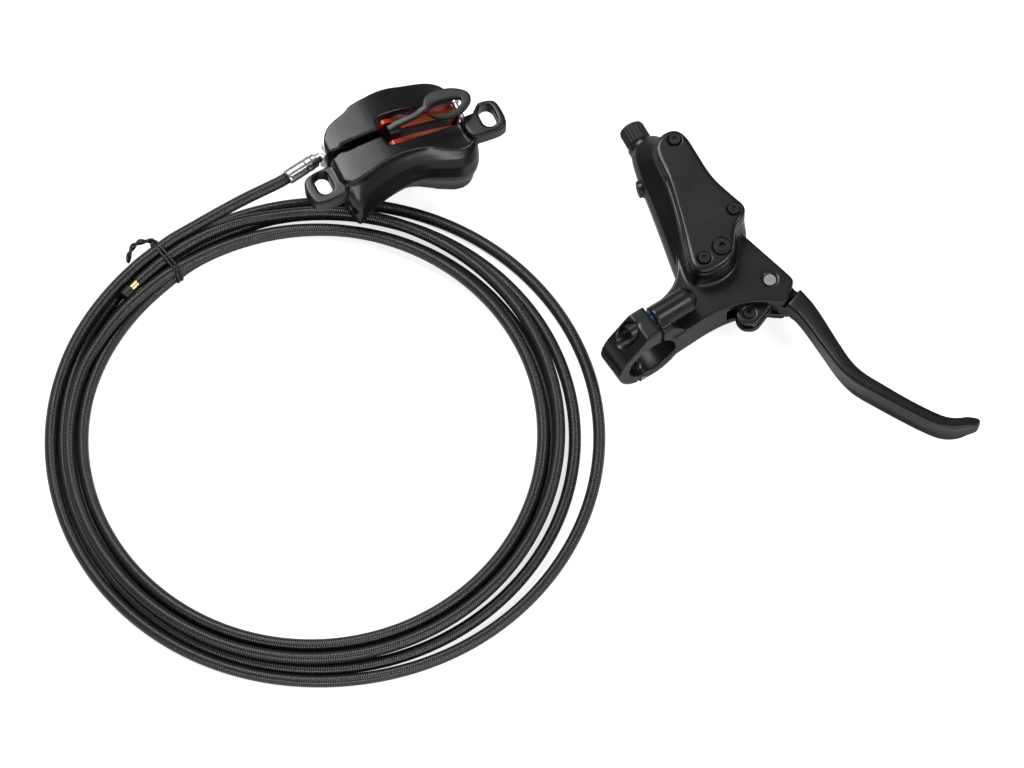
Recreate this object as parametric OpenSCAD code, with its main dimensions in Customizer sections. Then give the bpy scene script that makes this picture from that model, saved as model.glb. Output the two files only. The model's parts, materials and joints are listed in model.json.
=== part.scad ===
// Hydraulic disc brake for a bicycle: brake lever with master cylinder, four-piston
// post-mount caliper and a coiled hose, lying on a flat surface.
// Units are millimetres, +Z is up and the surface is z = 0.

/* [Handlebar clamp] */
// Diameter of the handlebar that the clamp holds
bar_d = 22.2; // [21.5:0.1:24]
// Wall of the clamp ring
clamp_wall = 5; // [4:0.5:6]
// Length of the clamp along the bar
clamp_w = 14; // [12:1:16]
// Thread diameter of the clamp bolt
clamp_bolt_d = 5; // [4:0.5:6]
// Head diameter of the clamp bolt
clamp_head_d = 8.4; // [7:0.2:9]

/* [Lever body] */
// Height of the arm that carries the pivot
arm_h = 16; // [14:0.5:18]
// Height of the slot in the arm
slot_h = 8.6; // [8:0.2:9]
// Bore of the master cylinder
master_bore = 9; // [8:0.1:10]
// Angle between the master cylinder and the handlebar
cylinder_angle = 6; // [4:0.5:8]
// Height of the reservoir rim above the bar axis
rim_z = 16; // [15:0.5:18]
// Thickness of the reservoir cover
cover_t = 2.8; // [2:0.2:4]

/* [Lever blade] */
// Height of the blade at the finger
blade_h = 15; // [12:0.5:17]
// Diameter of the pivot pin
pivot_d = 5; // [4:0.5:6]
// Depth of the groove along the inner side of the blade
blade_groove = 1.4; // [0.5:0.1:1.8]

/* [Caliper] */
// Distance between the post mount slots
post_spacing = 74.2; // [70:0.1:78]
// Width of a post mount slot
post_slot_w = 6.6; // [6:0.1:7.5]
// Length of a post mount slot
post_slot_l = 10.6; // [9:0.1:12]
// Thickness of the mounting ears
ear_t = 7.5; // [6:0.5:9]
// Diameter of the caliper pistons
piston_d = 16; // [14:0.5:17]
// Distance between the two pistons of one side
piston_pitch = 19.5; // [18.5:0.5:21]
// Slope of the row of pistons against the mount face
piston_tilt = 16; // [12:1:20]
// Width of the gap for the disc
disc_gap = 3.4; // [3:0.1:4]
// Outer radius of the disc that the caliper takes
disc_r = 80; // [78:1:82]

/* [Brake pads] */
// Thickness of a pad's backing plate
plate_t = 1.8; // [1.5:0.1:2]
// Thickness of a pad's friction lining
lining_t = 2.2; // [1.5:0.1:3]
// Free space on each side of the transport spacer
spacer_play = 0.4; // [0.2:0.1:0.6]

/* [Hose] */
// Outer diameter of the hose
hose_d = 5; // [4.5:0.1:5.5]
// Mean radius of the coil
coil_r = 101.5; // [95:0.5:110]
// Width of the bundle of turns
bundle_w = 21; // [18:1:25]
// Height of the bundle of turns
bundle_h = 9.6; // [9:0.2:11]
// Diameter of the crimped sleeve
sleeve_d = 6.4; // [6.2:0.1:7.5]
// Length of the crimped sleeve
sleeve_l = 14.5; // [12:0.5:20]

/* [Hidden] */
$fn = 48;

// Places of the three groups on the surface
lever_at = [5.5, -40.3, 0];
lever_turn = -56;
caliper_at = [-91.5, 41, 0];
caliper_turn = 25;
coil_at = [-127.4, -74.9, 0];

// Clearances
fit = 0.05;
gap = 0.3;
eps = 0.01;

// Handlebar clamp: the bar lies along X and its axis is z = 0 in the lever's own frame
bar_r = bar_d / 2;
ring_r = bar_r + clamp_wall;
lever_z = ring_r;
bolt_x = -1.5;
bolt_z = bar_r + clamp_bolt_d / 2 + 1.8;
boss_r = clamp_bolt_d / 2 + 2.9;
strap_top_y = 4.4;
boss_y = strap_top_y + 1.4;
boss_l = 17;
head_l = 5;
head_seat_y = -1;
hinge_y = -4;
hinge_r = 2.4;
hinge_pin_r = 1.1;
hinge_z = -(ring_r - hinge_r);
knuckle_w = clamp_w / 3;

// Lever pivot and push rod
pivot = [7.2, 58.1];
barrel = [13.3, 43.7];
pivot_boss_r = 6.2;
pivot_recess_r = 3.2;
bush_r = pivot_d / 2 + 1;
bush_t = 1;
bush_l = 3.4;
root_h = slot_h - 2 * gap;
ear_r = 5.5;
ear_h = 2.1;
barrel_gap = root_h - 2 * ear_h;
barrel_head_r = 3.4;
barrel_pin_r = 2.4;
rod_r = 1.25;
rod_ball_r = 2.1;
rod_l = 15.8;
rod_tail = 4.5;
shoulder_r = 12.2;
slot_x = 0.7;
slot_y = 36.5;

// Master cylinder: its own frame starts at its mouth and runs along its bore
mouth = [1.5, 43.4];
master_r = master_bore / 2;
barrel_wall = 4;
bore_l = 48;
port_l = 78.5;
port_thread_l = 9;
port_thread_r = 3.6;
piston_start = 2.7;
piston_l = 25;
cup_at = [8, 22];
cup_l = 2.2;
cup_depth = 1.3;
spring_wire = 0.9;
spring_turns = 6;
retainer_at = 0.9;
retainer_t = 1.2;

// Reservoir
diaphragm_t = 0.9;
pocket_z = 7.5;
cover_z = rim_z + diaphragm_t;
cover_screw_at = [[-62.6, 58.6], [-22.8, 60.6], [-11.2, 37.8]];
cover_head_r = 2.4;
cover_head_t = 1.5;
cover_recess_r = 2.9;
bleed_at = [-11.6, 46.8];
bleed_head_r = 3.6;
screw_r = 1.5;
screw_l = 8;

// Caliper: its own frame has its origin midway between the post mount slots, on the mount face
mount_z = 34;
disc_y = 10;
half_gap = disc_gap / 2;
pad_centre = [12, -13];
piston_r = piston_d / 2;
bore_r = piston_r + fit;
bore_floor_near = -3.2;
bore_floor_far = 2 * disc_y - bore_floor_near;
lining_face = half_gap + spacer_play;
plate_face = lining_face + lining_t;
plate_back = plate_face + plate_t;
piston_len = disc_y - plate_back - bore_floor_near - 1;
seal_w = 1.8;
seal_t = 0.9;
disc_reach = disc_r - 8;
disc_tilt = 21;
pin_r = 1.2;
pin_x = 15;
pin_z = 9;

// Hose fitting on the far half
banjo_at = [-25.8, 19.7];
banjo_z = -15.5;
banjo_r = 5.4;
banjo_t = 6.4;
banjo_bolt_r = 3;
washer_t = 1;
fitting_turn = 190.5;
neck_l = 1.6;
neck_r = 2;

// Moves a point towards another
function mix(a, b, t) = a + (b - a) * t;
// Cuts the corners of a closed outline, which rounds it
function cut_corners(p, times = 2) = times == 0 ? p : cut_corners([for (i = [0:len(p) - 1])
  let (q = p[(i + 1) % len(p)]) each [mix(p[i], q, 0.25), mix(p[i], q, 0.75)]], times - 1);
function unit(v) = v / max(norm(v), 0.000001);
// Moves a counter-clockwise outline inwards
function inset(p, d) = [for (i = [0:len(p) - 1])
  let (t = unit(p[(i + 1) % len(p)] - p[(i + len(p) - 1) % len(p)])) p[i] + d * [-t.y, t.x]];
function arc(c, r, a0, a1, n = 12) = [for (i = [0:n])
  c + r * [cos(mix(a0, a1, i / n)), sin(mix(a0, a1, i / n))]];
// Point of a smooth curve between b and c
function curve_point(a, b, c, d, t) = 0.5 * (2 * b + (c - a) * t
  + (2 * a - 5 * b + 4 * c - d) * t * t + (3 * b - a - 3 * c + d) * t * t * t);
// Smooth open curve through all the points
function smooth(p, n) = concat([for (i = [0:len(p) - 2]) for (j = [0:n - 1])
  curve_point(p[max(i - 1, 0)], p[i], p[i + 1], p[min(i + 2, len(p) - 1)], j / n)], [p[len(p) - 1]]);
// Heights and insets that round the two edges of a plate
function rounded_edges(z0, z1, r) = [[z0, r], [z0 + 0.3 * r, 0.3 * r], [z0 + r, 0],
  [z1 - r, 0], [z1 - 0.3 * r, 0.3 * r], [z1, r]];

// Skin over rings of points that all have the same number of points
module loft(rings) {
  n = len(rings[0]);
  m = len(rings);
  sides = [for (j = [0:m - 2]) for (i = [0:n - 1]) let (k = (i + 1) % n)
    each [[j * n + i, (j + 1) * n + i, j * n + k], [j * n + k, (j + 1) * n + i, (j + 1) * n + k]]];
  low = [for (i = [0:n - 1]) i];
  high = [for (i = [n - 1:-1:0]) (m - 1) * n + i];
  polyhedron([for (r = rings) each r], concat([low], sides, [high]));
}

// Plate with an outline and a profile of heights and insets
module plate(outline, steps) {
  loft([for (s = steps) [for (q = inset(outline, s[1])) [q.x, q.y, s[0]]]]);
}

module in_lever() {
  translate(lever_at + [0, 0, lever_z]) rotate([0, 0, lever_turn]) children();
}

module in_cylinder() {
  translate([mouth.x, mouth.y, 0]) rotate([0, 0, -cylinder_angle]) rotate([0, -90, 0]) children();
}

module in_caliper() {
  translate(caliper_at + [0, 0, mount_z]) rotate([0, 0, caliper_turn]) children();
}

// Frame of the pistons and pads: X along the row of pistons, Y across the disc
module in_pads() {
  translate([pad_centre.x, disc_y, pad_centre.y]) rotate([0, piston_tilt, 0]) children();
}

// Cylinder that runs along Y between two places
module y_rod(r, y0, y1) {
  translate([0, y0, 0]) rotate([-90, 0, 0]) cylinder(r = r, h = y1 - y0);
}

module ring(r_out, r_in, h) {
  difference() {
    cylinder(r = r_out, h = h);
    translate([0, 0, -1]) cylinder(r = r_in, h = h + 2);
  }
}

// Lobed socket of a star drive
module star_socket(r, depth) {
  for (a = [0:60:300]) rotate([0, 0, a]) translate([r * 0.62, 0, 0]) cylinder(r = r * 0.38, h = depth, $fn = 20);
  cylinder(r = r * 0.72, h = depth, $fn = 24);
}

// Lever body

// Each row has a point of the body's outline and the point of the reservoir rim above it
shoulder = [
  [-77, 46.3, -66.5, 52], [-66, 41.8, -62, 48.6], [-50, 37.8, -50, 46.4], [-38, 34.4, -39.6, 43.2],
  [-26, 30.8, -28.3, 38.6], [-16, 28, -17, 33.8], [-9, 27.4, -10, 31.2], [-4, 32, -5.6, 34.4],
  [-2.4, 42, -4.4, 43.6], [-4, 50, -7, 50], [-9, 55.4, -12.4, 53.6], [-14, 60, -16.8, 57.6],
  [-17, 64, -17.8, 62.4], [-22.4, 65, -21.6, 65.6], [-31, 63, -28, 64], [-42, 61.5, -40, 61.7],
  [-54, 60.5, -53, 62.9], [-64, 59.5, -61.5, 63.8], [-73, 58, -66.4, 62], [-77.5, 56.6, -68, 57]];
body_outline = cut_corners([for (q = shoulder) [q[0], q[1]]]);
rim_outline = cut_corners([for (q = shoulder) [q[2], q[3]]]);
// Height, inset and share of the way from the body's outline to the rim
shoulder_steps = [[-8.6, 5.2, 0], [-7.2, 3, 0], [-5, 1.2, 0], [-2, 0.2, 0], [2.5, 0, 0], [5.5, 0, 0.16],
  [9, 0, 0.62], [11.5, 0, 0.92], [13, 0, 1], [rim_z, 0, 1]];
arm_outline = cut_corners([[-9.6, 6], [8, 6], [7.6, 20], [7.4, 29], [8.4, 38], [11, 45.6], [14.6, 51.2],
  [17.9, 55.2], [19.3, 57], [18.7, 59], [15, 63.6], [13.2, 65.8], [11, 66], [2, 64.2], [-10, 61.8],
  [-24, 59], [-32, 50], [-28, 36], [-18, 29.5], [-12.6, 24], [-10, 16]]);
pocket_outline = cut_corners([[-58, 53], [-46, 49], [-36, 46], [-27, 42.6], [-18.5, 39.6], [-16.6, 42],
  [-17.4, 50], [-21, 54.6], [-28, 57.6], [-40, 58.4], [-52, 59.2], [-57.6, 57.6]]);

module housing() {
  loft([for (s = shoulder_steps)
    let (body = inset(body_outline, s[1]))
    [for (i = [0:len(body) - 1]) let (q = mix(body[i], rim_outline[i], s[2])) [q.x, q.y, s[0]]]]);
}

module linear_extrude_at(outline, z0, z1) {
  translate([0, 0, z0]) linear_extrude(z1 - z0) polygon(outline);
}

// Half of the clamp that is cast with the body, seen along the bar
body_clamp_profile = concat([[boss_y, bar_r - 2], [boss_y, bolt_z + 1], [11, bolt_z + 1], [19, 5], [19, -5]],
  arc([0, 0], ring_r, -20, -96, 12), [[hinge_y + 0.2, -bar_r + 2], [0, 0]]);
strap_profile = concat([[strap_top_y, bar_r - 2]], [[0, 0]], [[hinge_y - 0.1, -bar_r + 2]],
  arc([0, 0], ring_r, 247, 138, 20), [[-3.4, bolt_z + 4]], [[-2.2, bolt_z + 4.8]],
  [[strap_top_y, bolt_z + 4.8]]);

// Turns a profile in the plane across the bar into a solid along the bar
module along_bar(profile, w) {
  translate([-w / 2, 0, 0]) rotate([90, 0, 90]) linear_extrude(w) polygon(profile);
}

// The clamp's bolt boss, from its split face into the body
module clamp_boss() {
  translate([bolt_x, boss_y, bolt_z]) rotate([-90, 0, 0]) cylinder(r = boss_r, h = boss_l);
  translate([bolt_x, boss_y + boss_l - eps, bolt_z]) rotate([-90, 0, 0]) cylinder(r1 = boss_r, r2 = boss_r - 2.6, h = 3);
}

module hinge_knuckles(first, count) {
  for (i = [0:count - 1]) translate([(first + 2 * i) * knuckle_w - clamp_w / 2 + fit, hinge_y, hinge_z])
    rotate([0, 90, 0]) cylinder(r = hinge_r, h = knuckle_w - 2 * fit);
}

module hinge_room(first, count) {
  for (i = [0:count - 1]) translate([(first + 2 * i) * knuckle_w - clamp_w / 2 - fit, hinge_y, hinge_z])
    rotate([0, 90, 0]) cylinder(r = hinge_r + gap, h = knuckle_w + 2 * fit);
}

module hinge_bore() {
  translate([-clamp_w, hinge_y, hinge_z]) rotate([0, 90, 0]) cylinder(r = hinge_pin_r, h = 2 * clamp_w);
}

module bar_bore() {
  translate([-clamp_w, 0, 0]) rotate([0, 90, 0]) cylinder(r = bar_r, h = 2 * clamp_w, $fn = 96);
}

module lever_body() color([0.04, 0.04, 0.045]) in_lever() difference() {
  union() {
    housing();
    linear_extrude_at(arm_outline, -arm_h / 2, arm_h / 2);
    along_bar(body_clamp_profile, clamp_w);
    clamp_boss();
    hinge_knuckles(0, 2);
    in_cylinder() translate([0, 0, 40]) cylinder(r = master_r + barrel_wall - 2.4, h = port_l - 40);
    // Small boss for a switch on the bar side
    translate([-59, 41.5, 0]) rotate([90, 0, -18]) cylinder(r = 3.6, h = 6.4);
  }
  // Slot for the blade's root
  translate([slot_x, slot_y, -slot_h / 2]) cube([40, 40, slot_h]);
  // Pivot hole with a recess round the pin's end
  translate([pivot.x, pivot.y, -20]) cylinder(r = pivot_d / 2, h = 40);
  translate([pivot.x, pivot.y, arm_h / 2 - 0.6]) cylinder(r = pivot_recess_r, h = 10);
  // Master cylinder, groove of the retaining ring and outlet port
  in_cylinder() translate([0, 0, -6]) cylinder(r = master_r, h = 6 + bore_l);
  in_cylinder() translate([0, 0, retainer_at]) cylinder(r = master_r + 0.7, h = retainer_t);
  in_cylinder() cylinder(r = 1, h = port_l + 1);
  in_cylinder() translate([0, 0, port_l - port_thread_l]) cylinder(r = port_thread_r, h = 20);
  in_cylinder() translate([0, 0, port_l]) cylinder(r = 5.6, h = 20);
  // Reservoir with its two ports to the cylinder
  linear_extrude_at(pocket_outline, pocket_z, rim_z + 5);
  in_cylinder() for (d = [17, 30]) translate([0, 0, d]) rotate([0, 90, 0])
    cylinder(r = 0.6, h = pocket_z + 1, $fn = 16);
  // Holes of the cover screws and the bleed screw
  for (q = cover_screw_at) translate([q.x, q.y, rim_z - screw_l + cover_t]) cylinder(r = screw_r, h = 20, $fn = 24);
  translate([bleed_at.x, bleed_at.y, rim_z - 6]) cylinder(r = 2.2, h = 20, $fn = 24);
  // Handlebar bore, bolt thread and hinge
  bar_bore();
  translate([bolt_x, boss_y - 1, bolt_z]) rotate([-90, 0, 0]) cylinder(r = clamp_bolt_d / 2, h = boss_l);
  hinge_room(1, 1);
  hinge_bore();
  // Blind hole of the switch boss
  translate([-61.2, 34.8, 0]) rotate([-90, 0, -18]) translate([0, 0, -2]) cylinder(r = 1.7, h = 6, $fn = 24);
}

module reservoir_cover() color([0.05, 0.05, 0.055]) in_lever() difference() {
  plate(rim_outline, [[cover_z, 0], [cover_z + cover_t - 1.1, 0], [cover_z + cover_t - 0.35, 0.45],
    [cover_z + cover_t, 1.5]]);
  for (q = cover_screw_at) {
    translate([q.x, q.y, 0]) cylinder(r = screw_r + 0.1, h = 60, $fn = 24);
    translate([q.x, q.y, cover_z + cover_t - 0.9]) cylinder(r = cover_recess_r, h = 10);
  }
  translate([bleed_at.x, bleed_at.y, 0]) cylinder(r = 2.3, h = 60, $fn = 24);
  translate([bleed_at.x, bleed_at.y, cover_z + cover_t - 1.2]) cylinder(r = bleed_head_r + 0.4, h = 10);
}

// Rubber tray and gasket that closes the fluid off from the air under the cover
module reservoir_diaphragm() color([0.1, 0.1, 0.1]) in_lever() difference() {
  union() {
    linear_extrude_at(inset(rim_outline, 0.35), rim_z, cover_z);
    linear_extrude_at(inset(pocket_outline, gap), rim_z - 5, rim_z + eps);
  }
  linear_extrude_at(inset(pocket_outline, gap + 1), rim_z - 4, cover_z + 1);
  for (q = cover_screw_at) translate([q.x, q.y, 0]) cylinder(r = screw_r + 0.1, h = 60, $fn = 24);
  translate([bleed_at.x, bleed_at.y, 0]) cylinder(r = 2.3, h = 60, $fn = 24);
}

module cover_screws() color([0.1, 0.1, 0.1]) in_lever() for (q = cover_screw_at) translate([q.x, q.y, 0])
  difference() {
    union() {
      translate([0, 0, rim_z - screw_l + cover_t + 0.5]) cylinder(r = screw_r, h = screw_l + diaphragm_t - 1, $fn = 24);
      translate([0, 0, cover_z + cover_t - 0.9]) cylinder(r = cover_head_r, h = cover_head_t);
    }
    translate([0, 0, cover_z + cover_t - 0.9 + cover_head_t - 0.9]) star_socket(1.3, 5);
  }

module bleed_screw() color([0.08, 0.08, 0.08]) in_lever() translate([bleed_at.x, bleed_at.y, 0]) difference() {
  union() {
    translate([0, 0, rim_z - 5.5]) cylinder(r = 2.2, h = 8, $fn = 24);
    translate([0, 0, cover_z + cover_t - 1.2]) cylinder(r = bleed_head_r, h = 1.5);
    translate([0, 0, cover_z + cover_t + 0.3 - eps]) cylinder(r = bleed_head_r - 1, h = 0.5);
  }
  translate([0, 0, cover_z + cover_t - 0.9]) star_socket(1.7, 5);
}

module clamp_strap() color([0.04, 0.04, 0.045]) in_lever() difference() {
  union() {
    along_bar(strap_profile, clamp_w);
    hinge_knuckles(1, 1);
  }
  bar_bore();
  // Pocket of the bolt's head and its clear hole
  translate([bolt_x, head_seat_y, bolt_z]) rotate([90, 0, 0]) cylinder(r = clamp_head_d / 2 + 0.3, h = 30);
  translate([bolt_x, 30, bolt_z]) rotate([90, 0, 0]) cylinder(r = clamp_bolt_d / 2 + 0.2, h = 60);
  hinge_room(0, 2);
  hinge_bore();
}

module clamp_bolt() color([0.2, 0.2, 0.2]) in_lever() translate([bolt_x, head_seat_y, bolt_z]) rotate([-90, 0, 0])
  difference() {
    union() {
      cylinder(r = clamp_bolt_d / 2, h = boss_y + boss_l - head_seat_y - 2);
      translate([0, 0, -head_l]) cylinder(r = clamp_head_d / 2, h = head_l + eps);
    }
    translate([0, 0, -head_l - 1]) cylinder(r = 2.3, h = 3.6, $fn = 6);
  }

module clamp_hinge_pin() color([0.6, 0.6, 0.6]) in_lever()
  translate([-clamp_w / 2, hinge_y, hinge_z]) rotate([0, 90, 0]) cylinder(r = hinge_pin_r, h = clamp_w);

// Lever blade: centre line, thickness, and the share of the full height
blade_line = smooth([[16.5, 61.3], [22, 62.3], [31, 62.5], [44, 62], [55, 61.8], [63, 63.3], [72, 67],
  [82, 71.4], [91, 75.8], [98, 79.8], [101.8, 84], [104, 88.4], [107.4, 91.6]], 3);
blade_thickness = smooth([8.8, 8.2, 7, 6.1, 5.6, 5.4, 5.1, 4.9, 4.9, 5, 4.8, 4.4, 3.2], 3);
blade_height = smooth([0.9, 0.96, 1, 1, 1, 1, 1, 1, 1, 0.98, 0.9, 0.76, 0.5], 3);
blade_groove_share = smooth([0, 0, 0, 0, 0.1, 0.8, 1, 1, 1, 1, 0.5, 0, 0], 3);
blade_top = blade_h / 2 - 0.5;

// Section across the blade, counter-clockwise: share of the thickness and share of the half height
function blade_section(g) = [[0.5, -0.62], [0.56, -0.2], [0.56, 0.2], [0.5, 0.62], [0.34, 0.9], [0, 1],
  [-0.34, 0.97], [-0.5, 0.8], [-0.5 + g, 0.5], [-0.5 + 1.3 * g, 0], [-0.5 + g, -0.5], [-0.5, -0.8],
  [-0.34, -0.97], [0, -1], [0.34, -0.9]];

module blade_bar() {
  n = len(blade_line);
  loft([for (i = [0:n - 1])
    let (t = unit(blade_line[min(i + 1, n - 1)] - blade_line[max(i - 1, 0)]), side = [-t.y, t.x],
      w = blade_thickness[i], h = blade_h / 2 * blade_height[i],
      s = blade_section(blade_groove * max(blade_groove_share[i], 0) / w))
    [for (q = s) let (p = blade_line[i] + side * q[0] * w) [p.x, p.y, q[1] * h + blade_top - blade_h / 2]]]);
}

module blade_root_outline() {
  hull() {
    translate(pivot) circle(r = pivot_boss_r, $fn = 32);
    translate(barrel) circle(r = ear_r, $fn = 32);
  }
  hull() {
    translate(pivot) circle(r = pivot_boss_r, $fn = 32);
    translate([22, 61.9]) circle(r = 3.8, $fn = 32);
  }
}

module lever_blade() color([0.04, 0.04, 0.045]) in_lever() difference() {
  union() {
    difference() {
      blade_bar();
      translate([pivot.x, pivot.y, -20]) cylinder(r = shoulder_r, h = 40, $fn = 96);
    }
    translate([0, 0, -root_h / 2]) linear_extrude(root_h) blade_root_outline();
  }
  // Fork round the barrel
  translate([barrel.x, barrel.y, -barrel_gap / 2]) cylinder(r = ear_r + 3.4, h = barrel_gap);
  translate([barrel.x, barrel.y, -20]) cylinder(r = barrel_pin_r + fit, h = 40, $fn = 32);
  translate([pivot.x, pivot.y, -20]) cylinder(r = pivot_d / 2 + 0.15, h = 40);
  for (s = [0, 1]) mirror([0, 0, s]) translate([pivot.x, pivot.y, root_h / 2 - bush_l]) cylinder(r = bush_r, h = 10);
}

module pivot_pin() color([0.75, 0.75, 0.76]) in_lever() translate([pivot.x, pivot.y, -arm_h / 2 + 0.4])
  cylinder(r = pivot_d / 2, h = arm_h - 1);

module pivot_bushes() color([0.7, 0.55, 0.3]) in_lever() for (s = [0, 1]) mirror([0, 0, s])
  translate([pivot.x, pivot.y, root_h / 2 - bush_l]) ring(bush_r, pivot_d / 2 + fit, bush_l);

// Threaded barrel between the ears, with its pin through them and a socket in its end
module barrel_pin() color([0.08, 0.08, 0.08]) in_lever() difference() {
  translate([barrel.x, barrel.y, 0]) union() {
    translate([0, 0, -root_h / 2]) cylinder(r = barrel_pin_r, h = root_h);
    translate([0, 0, -barrel_gap / 2 + 0.1]) cylinder(r = barrel_head_r, h = barrel_gap - 0.2);
  }
  translate([barrel.x, barrel.y, root_h / 2 - 1.4]) cylinder(r = 1.4, h = 5, $fn = 6);
  translate([barrel.x + 10, barrel.y, 0]) rotate([0, -90, 0]) cylinder(r = rod_r, h = 20, $fn = 32);
}

module push_rod() color([0.5, 0.5, 0.52]) in_lever() translate([barrel.x, barrel.y, 0]) rotate([0, -90, 0]) {
  translate([0, 0, -rod_tail]) cylinder(r = rod_r, h = rod_tail + rod_l, $fn = 32);
  translate([0, 0, rod_l]) sphere(r = rod_ball_r, $fn = 32);
}

module master_piston() color([0.7, 0.7, 0.72]) in_lever() in_cylinder() difference() {
  translate([0, 0, piston_start]) cylinder(r = master_r - fit, h = piston_l);
  // Cup that the push rod's ball pushes on
  translate([0, 0, piston_start - 1]) cylinder(r = rod_ball_r + 0.8, h = 1 + 3.9);
  for (d = cup_at) translate([0, 0, d]) ring(master_r + 1, master_r - cup_depth, cup_l);
}

module piston_cups() color([0.05, 0.05, 0.05]) in_lever() in_cylinder()
  for (d = cup_at) translate([0, 0, d]) ring(master_r - fit, master_r - cup_depth, cup_l);

module return_spring() color([0.7, 0.7, 0.72]) in_lever() in_cylinder() {
  z0 = piston_start + piston_l + spring_wire / 2 + 0.1;
  z1 = bore_l - spring_wire / 2 - 0.1;
  r = master_r - spring_wire / 2 - 0.5;
  per_turn = 12;
  count = spring_turns * per_turn;
  loft([for (i = [0:count])
    let (a = 360 * i / per_turn, z = mix(z0, z1, i / count), out = [cos(a), sin(a), 0])
    [for (k = [5:-1:0]) [0, 0, z] + out * (r + spring_wire / 2 * cos(60 * k))
      + [0, 0, spring_wire / 2 * sin(60 * k)]]]);
}

module piston_retainer() color([0.3, 0.3, 0.3]) in_lever() in_cylinder() translate([0, 0, retainer_at])
  ring(master_r + 0.7, master_r - 1.2, retainer_t);

// Rubber cap that closes the hose port
module port_plug() color([0.09, 0.09, 0.09]) in_lever() in_cylinder() translate([0, 0, port_l]) {
  rotate_extrude() polygon([[0, -port_thread_l + 1], [port_thread_r - 0.2, -port_thread_l + 1],
    [port_thread_r, -port_thread_l + 1.6], [port_thread_r, 0], [4.4, 0], [5, 0.5], [5.1, 5.6], [4.9, 6.3],
    [4.2, 6.8], [0, 6.9]]);
}

// Caliper

// Outline of the near half seen from above: where it is widest, along its top edge and at its underside
near_rows = [[-30.6, disc_y, -30.6, disc_y, -30.6, disc_y], [-30.6, 0, -30.6, 2, -30.6, 1], [-30, -8, -30.4, -3, -30, -6],
  [-27.6, -14.4, -27, -6.2, -28, -13.6], [-24, -13.4, -22, -6.4, -25, -11.4], [-16, -10.4, -14, -4, -17, -5.2],
  [-6, -8.4, -5, -2.4, -7, -2.6], [4, -8, 4, -2.6, 3, -2.6], [13, -12, 13, -4, 12, -8], [21, -15.6, 21, -5, 20.5, -11.6],
  [28, -12, 27, -5, 27, -9], [30.8, -5, 30, -4, 29.4, -2], [31, 2, 30.5, 2, 29.6, 3], [31, disc_y, 30.5, disc_y, 29.6, disc_y]];
// Height, inset, and the shares of the top edge's and the underside's outlines
near_steps = [[-36, 3, 0, 1], [-31, 0.8, 0, 1], [-28, 0, 0, 0.9], [-24, 0, 0, 0.55], [-20, 0, 0, 0.2], [-16, 0, 0.03, 0],
  [-10, 0, 0.16, 0], [-6, 0, 0.4, 0], [-3, 0, 0.72, 0], [-0.8, 0, 1, 0], [6, 0, 1, 0]];
far_rows = [[-30.6, disc_y, -30.6, disc_y], [31, disc_y, 28, disc_y], [31, 20, 27, 18], [29, 28, 25, 22],
  [22, 33.5, 20, 25.4], [11, 34.5, 10, 28], [1, 34, 1, 28.8], [-8, 33, -8, 27.6], [-14.6, 32, -14.8, 26.4],
  [-15.6, 30, -15.8, 25], [-24, 26.6, -24.6, 22.6], [-29.6, 20, -29, 18.4], [-30.6, 14, -30.6, 13]];
far_steps = [[-36, 3, 0], [-31, 0.6, 0], [-25, 0, 0], [-16, 0, 0.1], [-9, 0, 0.5], [-4, 0, 0.85], [-1, 0, 1], [6, 0, 1]];
// Outline of both halves seen along the disc's axis: X and height against the mount face
side_outline = cut_corners([[-30.6, -4], [-30.6, 1.6], [-27, 2.6], [-16, 3], [-6, 3], [4, 1.4], [14, -2], [22, -3.6],
  [31, -3.8], [31, -16], [31, -27], [27, -32.6], [20, -34], [8, -33], [2, -31.5], [-5, -28.5], [-8.5, -24.2],
  [-18, -24], [-27, -23.4], [-30.6, -19]]);
prow_outline = cut_corners([[-30.6, -6], [-14, -8], [-14, -20], [-20, -24], [-26, -24], [-30.6, -20]]);

module half_block(rows, steps, y0, y1) {
  wide = [for (q = rows) [q[0], q[1]]];
  narrow = [for (q = rows) [q[2], q[3]]];
  low = [for (q = rows) len(q) > 4 ? [q[4], q[5]] : [q[0], q[1]]];
  a = cut_corners(wide);
  b = cut_corners(narrow);
  c = cut_corners(low);
  intersection() {
    loft([for (s = steps) let (ring_a = inset(a, s[1]))
      [for (i = [0:len(a) - 1])
        let (q = mix(mix(ring_a[i], b[i], s[2]), c[i], len(s) > 3 ? s[3] : 0)) [q.x, q.y, s[0]]]]);
    translate([0, 60, 0]) rotate([90, 0, 0]) linear_extrude(120) polygon(side_outline);
    translate([-40, y0, -40]) cube([80, y1 - y0, 60]);
  }
}

ear_centres = [-post_spacing / 2, post_spacing / 2];
// Each ear's root lies in the block, and its outer points are given from the middle of its slot
ear_outline_right = cut_corners(concat([[26, -7]], [for (p = [[-4.1, -8], [2.9, -8.4], [6.3, -6.6], [6.5, 3],
  [4.5, 6.6], [-4.1, 7.4]]) [ear_centres[1] + p.x, p.y]], [[26, 7.4]]));
ear_outline_left = cut_corners(concat([for (p = [[-7.5, -6], [-5.5, -9], [2.1, -9.4]]) [ear_centres[0] + p.x, p.y]],
  [[-28, -8.6], [-28, 6.4]], [for (p = [[-0.9, 6.4], [-6.5, 5], [-8.1, 1]]) [ear_centres[0] + p.x, p.y]]));

module ears() {
  plate(ear_outline_right, rounded_edges(-ear_t, 0, 0.8));
  plate(ear_outline_left, rounded_edges(-ear_t, 0, 0.8));
}

module post_slots() {
  for (x = ear_centres) for (y = [-1, 1]) translate([x, y * (post_slot_l - post_slot_w) / 2, -40])
    cylinder(r = post_slot_w / 2, h = 60);
  for (x = ear_centres) translate([x - post_slot_w / 2, -(post_slot_l - post_slot_w) / 2, -40])
    cube([post_slot_w, post_slot_l - post_slot_w, 60]);
}

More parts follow.
